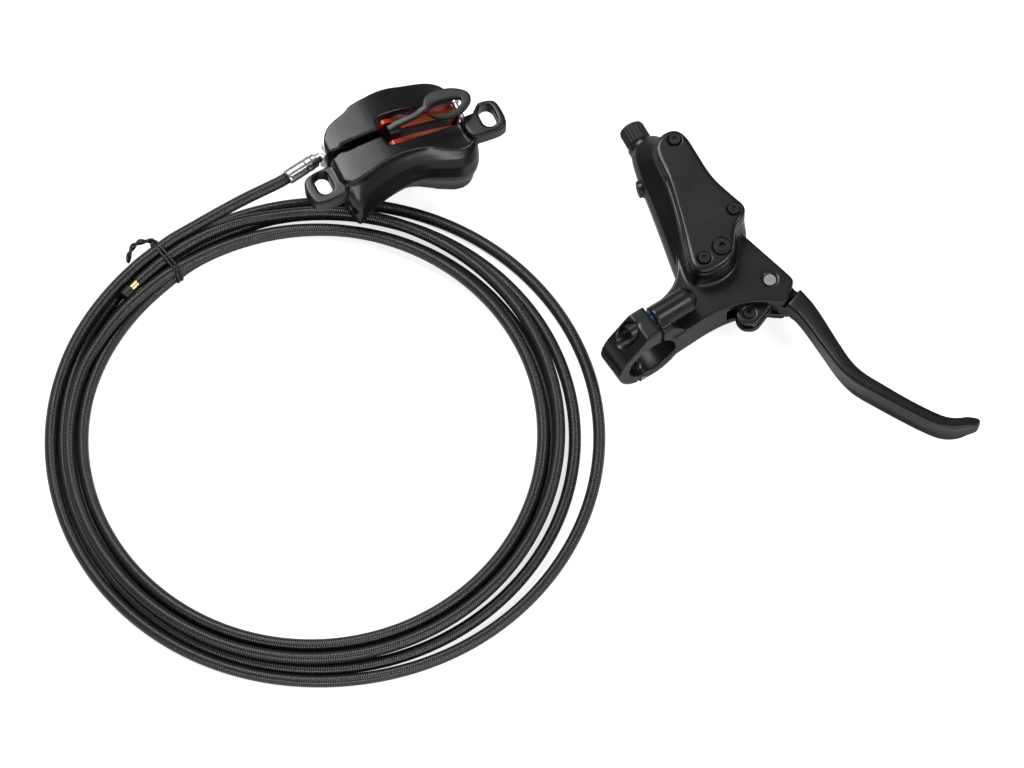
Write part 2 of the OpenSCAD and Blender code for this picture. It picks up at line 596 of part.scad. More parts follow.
module disc_room() {
  translate([pad_centre.x + disc_reach * sin(disc_tilt), disc_y, pad_centre.y + disc_reach * cos(disc_tilt)])
    y_rod(disc_r + 0.8, -half_gap, half_gap);
}

// Outline of a pad in the frame of the pistons
pad_outline = cut_corners([[-18.4, -7], [-17, -8.6], [17, -8.6], [18.4, -7], [18.6, 3.4], [17, 4.8], [8, 5.6],
  [0, 6], [-8, 6.2], [-12, 6.4], [-14.4, 8.2], [-19, 8.8], [-20.2, 6], [-18.8, 2]]);

module pad_solid(outline, y0, y1) {
  translate([0, y1, 0]) rotate([90, 0, 0]) linear_extrude(y1 - y0) polygon(outline);
}

// Mouth of the pads' pocket seen from above, and how far it flares at each height
window_outline = cut_corners([[-5.4, disc_y - 5], [-3.6, disc_y - 6.4], [26.4, disc_y - 6.4], [28.4, disc_y - 5],
  [28.4, disc_y + 5], [26.4, disc_y + 6.4], [-3.2, disc_y + 6.4], [-5.4, disc_y + 5]]);
window_steps = [[-7, 0], [-1.6, 0.3], [1.4, 0.9], [4, 2.2]];

// Pocket of the pads, open towards the hub
module pad_room() {
  in_pads() {
    pad_solid(inset(pad_outline, -0.5), -plate_back - gap, plate_back + gap);
    pad_solid([[-19.2, 2], [19, 2], [19, 24], [-19.2, 24]], -plate_back - gap, plate_back + gap);
  }
  loft([for (s = window_steps) [for (q = inset(window_outline, -s[1])) [q.x, q.y, s[0]]]]);
}

module piston_bores(y0, y1) {
  in_pads() for (x = [-1, 1]) translate([x * piston_pitch / 2, 0, 0]) y_rod(bore_r, y0 - disc_y, y1 - disc_y);
}

module seal_grooves(side) {
  in_pads() for (x = [-1, 1]) translate([x * piston_pitch / 2, 0, 0])
    y_rod(bore_r + seal_t, side * 9.5 - seal_w / 2, side * 9.5 + seal_w / 2);
}

// The bolts that join the halves come from the far side, so the near half is clean
caliper_bolt_at = [[-13.5, -17], [10, -27.6]];
caliper_bolt_r = 2.5;
caliper_bolt_head_r = 4.2;
caliper_bolt_seat = 23;
caliper_bolt_tip = 1;

// Bleed screw in the corner between the left ear and the keel
port_screw_at = [-25.4, -9.2, -13];
port_screw_turn = 200;
port_screw_r = 2.4;

module caliper_bolt_holes() {
  for (q = caliper_bolt_at) translate([q.x, 0, q.y]) {
    y_rod(caliper_bolt_r, caliper_bolt_tip - 1, disc_y + 1);
    y_rod(caliper_bolt_r + 0.2, disc_y, caliper_bolt_seat + 1);
    y_rod(caliper_bolt_head_r + 0.3, caliper_bolt_seat, 50);
  }
}

// Ring that seals the fluid's way from half to half, and its groove
module joint_ring() translate([-7, disc_y - 0.7, -21]) rotate([-90, 0, 0]) ring(2.4, 1.4, 1.4);

module caliper_near_half() color([0.04, 0.04, 0.045]) in_caliper() difference() {
  union() {
    half_block(near_rows, near_steps, -20, disc_y);
    ears();
  }
  post_slots();
  disc_room();
  pad_room();
  piston_bores(bore_floor_near, disc_y + 1);
  seal_grooves(-1);
  joint_ring();
  caliper_bolt_holes();
  in_pads() translate([pin_x, 0, pin_z]) y_rod(pin_r, -12, 1);
  translate(port_screw_at) rotate([0, 0, port_screw_turn]) rotate([0, 90, 0]) cylinder(r = port_screw_r, h = 8);
}

module caliper_far_half() color([0.04, 0.04, 0.045]) in_caliper() difference() {
  half_block(far_rows, far_steps, disc_y, 40);
  disc_room();
  pad_room();
  piston_bores(disc_y - 1, bore_floor_far);
  seal_grooves(1);
  joint_ring();
  caliper_bolt_holes();
  in_pads() translate([pin_x, 0, pin_z]) y_rod(pin_r, -1, 9);
  // Seat of the hose fitting under the left end
  translate([banjo_at.x, banjo_at.y, -40]) cylinder(r = banjo_r + 1.4, h = 40 + banjo_z + banjo_t / 2 + washer_t);
  translate([banjo_at.x - 30, banjo_at.y - banjo_r - 1.4, -40]) cube([30, 2 * banjo_r + 2.8, 40 + banjo_z + banjo_t / 2 + washer_t]);
  translate([banjo_at.x, banjo_at.y, banjo_z]) cylinder(r = banjo_bolt_r, h = 12, $fn = 32);
}

module caliper_bolts() color([0.12, 0.12, 0.12]) in_caliper() for (q = caliper_bolt_at) translate([q.x, 0, q.y])
  difference() {
    union() {
      y_rod(caliper_bolt_r, caliper_bolt_tip, caliper_bolt_seat + eps);
      y_rod(caliper_bolt_head_r, caliper_bolt_seat, caliper_bolt_seat + 5);
    }
    translate([0, caliper_bolt_seat + 2, 0]) rotate([-90, 0, 0]) cylinder(r = 2.3, h = 4, $fn = 6);
  }

module caliper_joint_ring() color([0.05, 0.05, 0.05]) in_caliper() joint_ring();

module pistons(side) {
  in_pads() mirror([0, side > 0 ? 0 : 1, 0]) for (x = [-1, 1]) translate([x * piston_pitch / 2, 0, 0]) difference() {
    y_rod(piston_r, plate_back, plate_back + piston_len);
    y_rod(piston_r - 3, plate_back - 1, plate_back + piston_len - 3);
  }
}

module near_pistons() color([0.75, 0.75, 0.77]) in_caliper() pistons(-1);

module far_pistons() color([0.75, 0.75, 0.77]) in_caliper() pistons(1);

module piston_seals() color([0.06, 0.06, 0.06]) in_caliper() in_pads() for (side = [-1, 1]) for (x = [-1, 1])
  translate([x * piston_pitch / 2, side * 9.5 - seal_w / 2, 0]) rotate([-90, 0, 0])
    ring(bore_r + seal_t, piston_r + fit, seal_w);

module pad_plate(side) {
  in_pads() mirror([0, side > 0 ? 0 : 1, 0]) pad_solid(pad_outline, plate_face, plate_back);
}

lining_outline = cut_corners([[-16.6, -6.6], [-15.6, -7.6], [11, -7.6], [12.4, -6.6], [12.6, 3], [11.6, 4],
  [4, 4.6], [-4, 5], [-12, 5.2], [-15.6, 5.2], [-17, 3.6]]);

module pad_lining(side) {
  in_pads() mirror([0, side > 0 ? 0 : 1, 0]) pad_solid(lining_outline, lining_face, plate_face);
}

module near_pad_plate() color([0.7, 0.12, 0.06]) in_caliper() pad_plate(-1);

module near_pad_lining() color([0.45, 0.2, 0.12]) in_caliper() pad_lining(-1);

module far_pad_plate() color([0.7, 0.12, 0.06]) in_caliper() pad_plate(1);

module far_pad_lining() color([0.45, 0.2, 0.12]) in_caliper() pad_lining(1);

// Leaf spring that holds the pads apart at their outer edge
module pad_spring() color([0.75, 0.68, 0.45]) in_caliper() in_pads() difference() {
  translate([-13, 0.1 - half_gap, -8]) cube([24, disc_gap - 0.2, 1.2]);
  translate([-12, 0.4 - half_gap, -7.5]) cube([22, disc_gap - 0.8, 2]);
}

module pad_pin() color([0.8, 0.8, 0.8]) in_caliper() in_pads() translate([pin_x, 0, pin_z])
  y_rod(pin_r, -12, 9);

module pad_pin_clip() color([0.8, 0.8, 0.8]) in_caliper() in_pads()
  translate([pin_x, 4.6, pin_z]) rotate([-90, 0, 0]) ring(pin_r + 0.8, pin_r, 0.6);

// Plastic spacer that keeps the pads apart: a blade with a block at its end, a strap and a loop for a finger
loop_outline = cut_corners([[13, 12.4], [13.4, 7.4], [17, 3.6], [23.6, 1.6], [29.4, 3.6], [33, 6.4], [33.2, 10],
  [30.4, 13], [26, 15.4], [19.6, 16.6], [15.4, 15.4]]);
loop_z = 4;
loop_t = 3;
loop_hole = cut_corners([[12.9, 9], [15.2, 10.8], [18.3, 11.4], [22.6, 10.9], [27.6, 9.8], [29.2, 8.4], [28.2, 6.4],
  [25.6, 5], [22, 4.4], [18.4, 4.6], [15.2, 6.2]]);
strap_line = smooth([[-3.5, 10.4, 1.2], [1, 11, 1.9], [5, 10.6, 3], [9, 10.2, 4.4], [12, 10.6, 5.3], [15, 11.4, 5.5]], 2);

module transport_spacer() color([0.05, 0.05, 0.05]) in_caliper() {
  in_pads() pad_solid([[-14, -6], [11.6, -6.4], [11.6, 3.4], [-12.6, 5], [-12.6, 9.6], [-18.4, 9.6], [-18.4, 4],
    [-15, 3]], -half_gap, half_gap);
  n = len(strap_line);
  loft([for (i = [0:n - 1])
    let (t = unit(strap_line[min(i + 1, n - 1)] - strap_line[max(i - 1, 0)]), side = unit([-t.y, t.x, 0]))
    [for (q = [[-1.3, -1.3], [1.3, -1.3], [1.3, 1.3], [-1.3, 1.3]]) strap_line[i] + side * q[0] + [0, 0, q[1]]]]);
  difference() {
    plate(loop_outline, rounded_edges(loop_z, loop_z + loop_t, 0.5));
    linear_extrude_at(loop_hole, loop_z - 1, loop_z + loop_t + 1);
  }
}

module caliper_bleed_screw() color([0.3, 0.3, 0.3]) in_caliper() translate(port_screw_at) rotate([0, 0, port_screw_turn])
  rotate([0, 90, 0]) difference() {
    cylinder(r = port_screw_r, h = 3);
    translate([0, 0, 1.5]) cylinder(r = 1.4, h = 2, $fn = 6);
  }

module in_banjo() {
  translate([banjo_at.x, banjo_at.y, banjo_z]) rotate([0, 0, fitting_turn]) children();
}

module hose_banjo() color([0.8, 0.8, 0.82]) in_caliper() in_banjo() difference() {
  union() {
    translate([0, 0, -banjo_t / 2]) cylinder(r = banjo_r, h = banjo_t);
    rotate([0, 90, 0]) cylinder(r = neck_r, h = banjo_r + neck_l);
  }
  translate([0, 0, -10]) cylinder(r = banjo_bolt_r + 0.6, h = 20);
  rotate([0, 90, 0]) cylinder(r = 1, h = 30, $fn = 24);
}

module banjo_bolt() color([0.8, 0.8, 0.82]) in_caliper() in_banjo() difference() {
  union() {
    translate([0, 0, -banjo_t / 2 - washer_t - 1]) cylinder(r = banjo_bolt_r, h = banjo_t + washer_t * 2 + 6, $fn = 32);
    translate([0, 0, -banjo_t / 2 - washer_t - 4]) cylinder(r = 5, h = 4, $fn = 6);
  }
  translate([0, 0, -banjo_t / 2 - washer_t - 5]) cylinder(r = 2, h = 4, $fn = 6);
}

module banjo_washers() color([0.8, 0.5, 0.3]) in_caliper() in_banjo() for (z = [-banjo_t / 2 - washer_t, banjo_t / 2])
  translate([0, 0, z]) ring(banjo_r - 1, banjo_bolt_r + 0.3, washer_t);

module crimp_sleeve() color([0.85, 0.85, 0.86]) in_caliper() in_banjo() translate([banjo_r + neck_l, 0, 0])
  rotate([0, 90, 0]) rotate_extrude() polygon([[0, 0], [2.6, 0], [3, 0.4], [3, 2.2], [sleeve_d / 2, 2.6],
    [sleeve_d / 2, 3.4], [sleeve_d / 2 - 0.2, 3.6], [sleeve_d / 2 - 0.2, 4.2], [sleeve_d / 2, 4.4],
    [sleeve_d / 2, sleeve_l - 0.5], [sleeve_d / 2 - 0.4, sleeve_l], [0, sleeve_l]]);

// Hose

function turned(p, a) = [p.x * cos(a) - p.y * sin(a), p.x * sin(a) + p.y * cos(a)];
sleeve_end = caliper_at + concat(turned(banjo_at + turned([banjo_r + neck_l + sleeve_l, 0], fitting_turn),
  caliper_turn), [mount_z + banjo_z]);
// The lead runs from the sleeve down into a channel of the coil
lead_turn = 210;
lead_end = [-187.8, 12.7, 7.8];
lead_points = [[-148.6, 31.6, 17], [-158.6, 27.4, 14.6], [-169.6, 22.3, 11.6]];

module hose_lead() color([0.05, 0.05, 0.05]) {
  d0 = [cos(fitting_turn + caliper_turn), sin(fitting_turn + caliper_turn), 0];
  d1 = [cos(lead_turn), sin(lead_turn), 0];
  line = concat([sleeve_end], smooth(concat([sleeve_end + d0 * 3], lead_points, [lead_end - d1 * 8 + [0, 0, 1]]), 3),
    [lead_end]);
  n = len(line);
  loft([for (i = [0:n - 1])
    let (t = i == 0 ? d0 : i == n - 1 ? d1 : unit(line[i + 1] - line[i - 1]), a = unit(cross([0, 0, 1], t)),
      b = cross(t, a))
    [for (k = [0:9]) line[i] + hose_d / 2 * (a * cos(36 * k) + b * sin(36 * k))]]);
}

// Outer shape of the five turns
module hose_coil() color([0.05, 0.05, 0.05]) difference() {
  translate(coil_at) rotate_extrude($fn = 180) translate([coil_r, 0]) polygon([[-bundle_w / 2, 1.4],
    [-bundle_w / 2 + 1.4, 0], [bundle_w / 2 - 1.4, 0], [bundle_w / 2, 1.4], [bundle_w / 2, 5],
    [bundle_w / 2 - 4, bundle_h], [-bundle_w / 2 + 4, bundle_h], [-bundle_w / 2, 5]]);
  translate(lead_end) rotate([0, 0, lead_turn]) translate([-24, -3.3, -2.8]) cube([24, 6.6, 20]);
  translate(coil_at) end_room();
}

end_turn = 139.5;
end_r = 100.6;
end_z = 7.3;

// Channel in which the hose's free end lies
module end_room() {
  rotate([0, 0, end_turn]) translate([end_r - 3.1, -3, end_z - 3.1]) cube([6.2, 12, 10]);
}

module in_hose_end() {
  translate(coil_at) rotate([0, 0, end_turn]) translate([end_r, -3, end_z]) rotate([-90, 0, 0]) children();
}

module hose_insert() color([0.8, 0.6, 0.25]) in_hose_end() cylinder(r = 1.9, h = 4, $fn = 24);

module hose_end_cap() color([0.05, 0.05, 0.05]) in_hose_end() translate([0, 0, 4]) cylinder(r = 2.6, h = 4.4, $fn = 24);

// Wire tie twisted round the bundle
module twist_tie() color([0.05, 0.05, 0.05]) translate(coil_at) rotate([0, 0, 128.5]) {
  difference() {
    translate([coil_r - bundle_w / 2 - 1.5, -1, 0]) cube([bundle_w + 3, 2, bundle_h + 1]);
    translate([coil_r - bundle_w / 2 - 0.3, -2, -1]) cube([bundle_w + 0.6, 4, bundle_h + 1.2]);
  }
}

lever_body();
reservoir_cover();
reservoir_diaphragm();
cover_screws();
bleed_screw();
clamp_strap();
clamp_bolt();
clamp_hinge_pin();
lever_blade();
pivot_pin();
pivot_bushes();
barrel_pin();
push_rod();
master_piston();
piston_cups();
return_spring();
piston_retainer();
port_plug();
caliper_near_half();
caliper_far_half();
caliper_bolts();
caliper_joint_ring();
near_pistons();
far_pistons();
piston_seals();
near_pad_plate();
near_pad_lining();
far_pad_plate();
far_pad_lining();
pad_spring();
pad_pin();
pad_pin_clip();
transport_spacer();
caliper_bleed_screw();
hose_banjo();
banjo_bolt();
banjo_washers();
crimp_sleeve();
hose_lead();
hose_coil();
hose_insert();
hose_end_cap();
twist_tie();
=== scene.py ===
"""Looks of a hydraulic disc brake: a lever with its reservoir, a four-piston caliper and a coiled hose.

Sizes below are in millimetres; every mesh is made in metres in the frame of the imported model.
"""

import json
import math

import bmesh
import bpy
import numpy as np
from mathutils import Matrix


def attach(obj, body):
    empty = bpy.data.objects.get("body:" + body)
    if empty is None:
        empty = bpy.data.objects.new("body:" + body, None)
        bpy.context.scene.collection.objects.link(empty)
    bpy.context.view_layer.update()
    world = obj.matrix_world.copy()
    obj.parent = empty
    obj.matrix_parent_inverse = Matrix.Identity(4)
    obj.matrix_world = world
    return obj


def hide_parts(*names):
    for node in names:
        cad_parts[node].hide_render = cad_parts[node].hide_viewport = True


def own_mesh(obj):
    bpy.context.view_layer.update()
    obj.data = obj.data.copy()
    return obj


MM = 0.001

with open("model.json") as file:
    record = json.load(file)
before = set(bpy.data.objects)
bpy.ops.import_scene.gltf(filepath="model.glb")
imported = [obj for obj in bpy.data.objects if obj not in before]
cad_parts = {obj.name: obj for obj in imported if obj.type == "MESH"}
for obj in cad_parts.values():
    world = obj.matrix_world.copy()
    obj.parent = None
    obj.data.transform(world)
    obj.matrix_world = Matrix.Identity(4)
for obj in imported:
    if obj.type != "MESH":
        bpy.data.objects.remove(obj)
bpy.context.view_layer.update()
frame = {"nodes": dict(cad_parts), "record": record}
MERGE_DISTANCE = 1e-6

# Places of the three groups, as in the part's source
LEVER_AT = (5.5, -40.3, 16.1)
LEVER_TURN = -56
CALIPER_AT = (-91.5, 41.0, 34)
CALIPER_TURN = 25
COIL_AT = (-127.4, -74.9, 0)
PHOTO_MIDDLE = (-47.8, -49.9, 0)

# Hose
HOSE_D = 5
RING_PITCH = 0.9
SLEEVE_R = 3.2
SLEEVE_L = 14.5
BANJO_AT = (-25.8, 19.7, -15.5)
BANJO_REACH = 7
FITTING_TURN = 190.5
LEAD_POINTS = [(-148.6, 31.6, 17), (-158.6, 27.4, 14.6), (-169.6, 22.3, 11.6), (-180.3, 16.9, 8.8),
               (-187.8, 12.7, 7.8)]
# Angle round the coil, radius and height of the hose's middle, from the lead to the free end
TURN_POINTS = [
    (140, 105.6, 7.2), (180, 107.9, 3.4), (225, 107.6, 2.5), (270, 107, 2.5), (315, 112, 2.5), (360, 115.5, 2.5),
    (405, 112, 2.5), (450, 106.4, 2.5), (495, 105, 2.5), (540, 103.5, 2.5), (630, 102.5, 2.5), (720, 105.4, 2.5),
    (810, 101.1, 2.5), (855, 100.4, 2.5), (900, 99, 2.5), (990, 97, 2.5), (1080, 95.9, 2.5), (1170, 94.2, 2.5),
    (1215, 94.3, 2.8), (1260, 95.7, 6.3), (1350, 93.5, 6.3), (1440, 92.3, 6.3), (1530, 92.2, 7.1),
    (1555, 93.2, 7.4), (1580, 95.4, 7.4), (1620, 101, 7.2), (1710, 99.5, 7.2), (1800, 98.8, 7.2),
    (1890, 100.5, 7.3), (1915, 100.6, 7.3)]
HOSE_END = (1938, 100.6, 7.3)

# Twist tie
TIE_ANGLE = 128.6
TIE_WIRE_R = 0.65

# Master cylinder's port plug
CYLINDER_MOUTH = (1.5, 43.4, 0)
CYLINDER_TURN = 174


def turned(points, degrees):
    """Points turned about the vertical axis by an angle."""
    a = math.radians(degrees)
    p = np.asarray(points, float)
    x = p[..., 0] * math.cos(a) - p[..., 1] * math.sin(a)
    y = p[..., 0] * math.sin(a) + p[..., 1] * math.cos(a)
    return np.stack([x, y, p[..., 2]], axis=-1)


def in_lever(points):
    """Lever's own frame to the model's frame: turned about the vertical, then moved."""
    return turned(points, LEVER_TURN) + np.array(LEVER_AT)


def in_caliper(points):
    """Caliper's own frame to the model's frame: turned about the vertical, then moved."""
    return turned(points, CALIPER_TURN) + np.array(CALIPER_AT)


def unit(v):
    """Vectors divided by their lengths."""
    return v / np.maximum(np.linalg.norm(v, axis=-1, keepdims=True), 1e-9)


def smooth_line(points, step):
    """Curve through the points with even steps.

    Each coordinate is a Catmull-Rom cubic of the point number, and the result is then resampled by its arc length.
    """
    p = np.asarray(points, float)
    p = np.vstack([2 * p[0] - p[1], p, 2 * p[-1] - p[-2]])
    t = np.linspace(0, 1, 24, endpoint=False)[None, :, None]
    a, b, c, d = (p[i:len(p) - 3 + i, None, :] for i in range(4))
    curve = 0.5 * (2 * b + (c - a) * t + (2 * a - 5 * b + 4 * c - d) * t ** 2 + (3 * b - a - 3 * c + d) * t ** 3)
    curve = np.vstack([curve.reshape(-1, p.shape[1]), p[-2]])
    return even_steps(curve, step)


def even_steps(line, step):
    """The same line with points at equal distances along it."""
    run = np.concatenate([[0], np.cumsum(np.linalg.norm(np.diff(line, axis=0), axis=1))])
    count = max(int(round(run[-1] / step)), 2)
    at = np.linspace(0, run[-1], count + 1)
    return np.stack([np.interp(at, run, line[:, k]) for k in range(line.shape[1])], axis=-1)


def link(obj):
    bpy.context.scene.collection.objects.link(obj)
    return obj


def grid_piece(name, points, closed_round=True, caps=True, scale=MM, uv=None):
    """Mesh from a grid of points, rows by columns; the columns may close on themselves and the end rows be capped.

    Face (i, j) joins points (i, j), (i, j+1), (i+1, j+1) and (i+1, j).
    """
    rows, cols = points.shape[:2]
    index = np.arange(rows * cols).reshape(rows, cols)
    right = np.roll(index, -1, axis=1) if closed_round else index[:, 1:]
    left = index if closed_round else index[:, :-1]
    quads = np.stack([left[:-1], right[:-1], right[1:], left[1:]], axis=-1).reshape(-1, 4)
    faces = quads.tolist()
    if caps and closed_round:
        faces += [index[0, ::-1].tolist(), index[-1].tolist()]
    mesh = bpy.data.meshes.new(name)
    mesh.from_pydata((points.reshape(-1, 3) * scale).tolist(), [], faces)
    if uv is not None:
        layer = mesh.uv_layers.new(name="UVMap")
        wide = np.concatenate([uv, uv[:, :1] + np.array([0, 1])], axis=1) if closed_round else uv
        corners = np.stack([wide[:-1, :-1], wide[:-1, 1:], wide[1:, 1:], wide[1:, :-1]], axis=2).reshape(-1, 2)
        flat = np.zeros((len(mesh.loops), 2))
        flat[:len(corners)] = corners
        layer.data.foreach_set("uv", flat.ravel())
    mesh.update()
    piece = link(bpy.data.objects.new(name, mesh))
    face_outwards(mesh)
    return piece


def face_outwards(mesh):
    """Turns every face of a closed mesh outwards and shades it smooth."""
    bm = bmesh.new()
    bm.from_mesh(mesh)
    bmesh.ops.recalc_face_normals(bm, faces=bm.faces)
    bm.to_mesh(mesh)
    bm.free()
    mesh.shade_smooth()


def tube_points(line, radius, sides, start=None, end=None):
    """Rings round a line: centre + radius (side cos a + up sin a), where side is level and up is square to both."""
    tangent = np.gradient(line, axis=0)
    if start is not None:
        tangent[0] = start
    if end is not None:
        tangent[-1] = end
    tangent = unit(tangent)
    side = unit(np.cross([0, 0, 1], tangent))
    up = np.cross(tangent, side)
    a = np.linspace(0, 2 * math.pi, sides, endpoint=False)[None, :, None]
    radius = np.broadcast_to(np.asarray(radius, float).reshape(-1, 1, 1), (len(line), 1, 1))
    return line[:, None] + radius * (side[:, None] * np.cos(a) + up[:, None] * np.sin(a))


def tube(name, line, radius, sides=12, **ends):
    """Round tube along a line in millimetres, with the length in metres along it and the share of a turn as its UV."""
    rings = tube_points(line, radius, sides, **ends)
    run = np.concatenate([[0], np.cumsum(np.linalg.norm(np.diff(line, axis=0), axis=1))]) * MM
    uv = np.stack(np.broadcast_arrays(run[:, None], np.arange(sides)[None, :] / sides), axis=-1)
    return grid_piece(name, rings, uv=uv)


def revolved(name, profile, place, sides=48, ripple=None):
    """Surface of revolution: each row of the profile (along, radius) is a ring round the axis, then placed.

    A ripple adds depth times cos(count times the angle) to the radius between two places along the axis.
    """
    along, radius = np.asarray(profile, float).T
    a = np.linspace(0, 2 * math.pi, sides, endpoint=False)
    r = np.repeat(radius[:, None], sides, axis=1)
    if ripple:
        first, last, depth, count = ripple
        inside = ((along >= first) & (along <= last))[:, None]
        r = r + inside * depth * np.cos(count * a)[None, :]
    points = np.stack([np.repeat(along[:, None], sides, axis=1), r * np.cos(a), r * np.sin(a)], axis=-1)
    return grid_piece(name, place(points))


def fine_rows(profile, step):
    """Profile with extra rows between its corners."""
    rows = [np.linspace(a, b, max(int(abs(b[0] - a[0]) / step), 1), endpoint=False)
            for a, b in zip(np.asarray(profile[:-1], float), np.asarray(profile[1:], float))]
    return np.vstack(rows + [np.asarray(profile[-1:], float)])


# Camera: level with the photograph's, which looks down at 65 degrees through a long lens

CAMERA_ELEVATION = 65
CAMERA_DISTANCE = 2500
PHOTO_WIDTH = 419.8
SENSOR = 36


def add_camera():
    data = bpy.data.cameras.new("Camera")
    camera = link(bpy.data.objects.new("Camera", data))
    e = math.radians(CAMERA_ELEVATION)
    middle = np.array(PHOTO_MIDDLE, float)
    camera.location = (middle + CAMERA_DISTANCE * np.array([0, -math.cos(e), math.sin(e)])) * MM
    camera.rotation_euler = (math.pi / 2 - e, 0, 0)
    data.sensor_width = SENSOR
    data.lens = SENSOR * CAMERA_DISTANCE / PHOTO_WIDTH
    data.clip_end = 20
    bpy.context.scene.camera = camera


add_camera()

# Hose


def part_turns(sections, passes=240):
    """Pushes the hose's turns apart until they lie beside and on each other.

    sections holds radius and height at every degree. Two sections a whole number of turns apart whose middles are
    closer than the diameter move apart by half of what is missing, and none sinks below the surface.
    """
    p = sections.copy()
    count = len(p)
    for _ in range(passes):
        push = np.zeros_like(p)
        for turns in range(1, 6):
            shift = 360 * turns
            if shift >= count:
                break
            apart = p[shift:] - p[:-shift]
            far = np.linalg.norm(apart, axis=1, keepdims=True)
            missing = np.clip(HOSE_D + 0.05 - far, 0, None) * apart / np.maximum(far, 0.2)
            push[shift:] += 0.3 * missing
            push[:-shift] -= 0.3 * missing
        p += push
        p[1:-1] = 0.5 * p[1:-1] + 0.25 * (p[:-2] + p[2:])
        p[:, 1] = np.clip(p[:, 1], HOSE_D / 2 + 0.05, 7.4)
        p[:4], p[-6:] = sections[:4], sections[-6:]
    return p


def coil_line():
    """Middle of the turns: (radius cos a, radius sin a, height) for angles from the lead to the free end."""
    lead_end = np.array(LEAD_POINTS[-1]) - np.array(COIL_AT)
    first = (math.degrees(math.atan2(lead_end[1], lead_end[0])), math.hypot(lead_end[0], lead_end[1]), lead_end[2])
    table = np.array([first] + TURN_POINTS + [HOSE_END], float)
    fine = smooth_line(np.column_stack([table[:, 0] / 10, table[:, 1], table[:, 2]]), 0.05)
    degrees = np.arange(math.ceil(table[0, 0]), table[-1, 0] + 0.5)
    sections = np.column_stack([np.interp(degrees, fine[:, 0] * 10, fine[:, k]) for k in (1, 2)])
    sections = part_turns(sections)
    a = np.radians(degrees)
    line = np.column_stack([sections[:, 0] * np.cos(a), sections[:, 0] * np.sin(a), sections[:, 1]])
    return line + np.array(COIL_AT)


def hose_line():
    """Whole middle line of the hose, from the end of its crimped sleeve to its free end."""
    sleeve_end = in_caliper(np.array(BANJO_AT) + turned([[BANJO_REACH + SLEEVE_L, 0, 0]], FITTING_TURN)[0])
    heading = turned([[1, 0, 0]], FITTING_TURN + CALIPER_TURN)[0]
    lead = np.vstack([sleeve_end, sleeve_end + 3 * heading, LEAD_POINTS[:-1]])
    lead = smooth_line(np.vstack([lead, LEAD_POINTS[-1]]), 2)
    line = even_steps(np.vstack([lead[:-1], coil_line()]), 2.5)
    line[1:-1] = 0.5 * line[1:-1] + 0.25 * (line[:-2] + line[2:])
    return line, sleeve_end


hose_middle, sleeve_end = hose_line()
hose = tube("brake_hose", hose_middle, HOSE_D / 2, sides=16)
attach(hose, "brake_set")
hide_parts("hose_lead", "hose_coil")

# Twist tie: a coated wire wound twice round the turns, with a twisted tail outside and a short hook inside


def tie_frame(points):
    """Out from the coil's middle, along the hose and up, to the model's frame."""
    return turned(points, TIE_ANGLE) + np.array(COIL_AT)


def twist_tie_lines():
    """Middle lines of the tie: a wrap is a flattened ring in the plane across the hose that creeps along it.

    The tail is two wires wound round a line that leaves the coil and comes back to it.
    """
    a = np.linspace(-0.35, 1.72, 160) * 2 * math.pi
    half_w, half_h, middle_r = 9.9, 4.6, 100.6
    out = np.sign(np.cos(a)) * np.abs(np.cos(a)) ** 0.6
    up = np.sign(np.sin(a)) * np.abs(np.sin(a)) ** 0.6
    creep = np.interp(a, [a[0], a[-1]], [-1.6, 1.8])
    wraps = np.column_stack([middle_r + half_w * out, creep, np.clip(5.2 + half_h * up, TIE_WIRE_R, None)])
    t = np.linspace(0, 1, 60)
    tail = [np.column_stack([110.4 + 4.2 * np.sin(math.pi * t) + s * np.cos(11 * t), -1 + 14 * t,
                             7 - 2 * t + s * np.sin(11 * t)]) for s in (0.72, -0.72)]
    return [wraps] + tail


tie_pieces = []
for number, line in enumerate(twist_tie_lines()):
    wire = tube(f"twist_tie_wire_{number + 1}", tie_frame(even_steps(line, 0.7)), TIE_WIRE_R, sides=8)
    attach(wire, "brake_set")
    tie_pieces.append(wire)
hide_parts("twist_tie")

# Cast and moulded bodies


def merged_copy(name, nodes, shape=None):
    """One mesh from copies of CAD nodes, with doubles merged and then changed by the shape function, if any."""
    mesh = bpy.data.meshes.new(name)
    bm = bmesh.new()
    for node in nodes:
        bm.from_mesh(frame["nodes"][node].data)
    bmesh.ops.remove_doubles(bm, verts=bm.verts, dist=MERGE_DISTANCE)
    if shape:
        shape(bm)
    bm.to_mesh(mesh)
    bm.free()
    return mesh


def cast_skin(name, nodes, body, voxel, passes, shape=None):
    """Copy of CAD nodes with soft edges: rebuilt on a grid of voxels and relaxed, which rounds its corners."""
    mesh = merged_copy(name, nodes, shape)
    piece = link(bpy.data.objects.new(f"{name}_skin", mesh))
    voxels = piece.modifiers.new("Voxels", "REMESH")
    voxels.mode = "VOXEL"
    voxels.voxel_size = voxel * MM
    voxels.use_smooth_shade = True
    relax = piece.modifiers.new("Relax", "SMOOTH")
    relax.factor = 0.5
    relax.iterations = passes
    bpy.context.view_layer.update()
    finished = bpy.data.meshes.new_from_object(piece.evaluated_get(bpy.context.evaluated_depsgraph_get()))
    piece.modifiers.clear()
    piece.data = finished
    finished.shade_smooth()
    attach(piece, body)
    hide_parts(*nodes)
    return piece


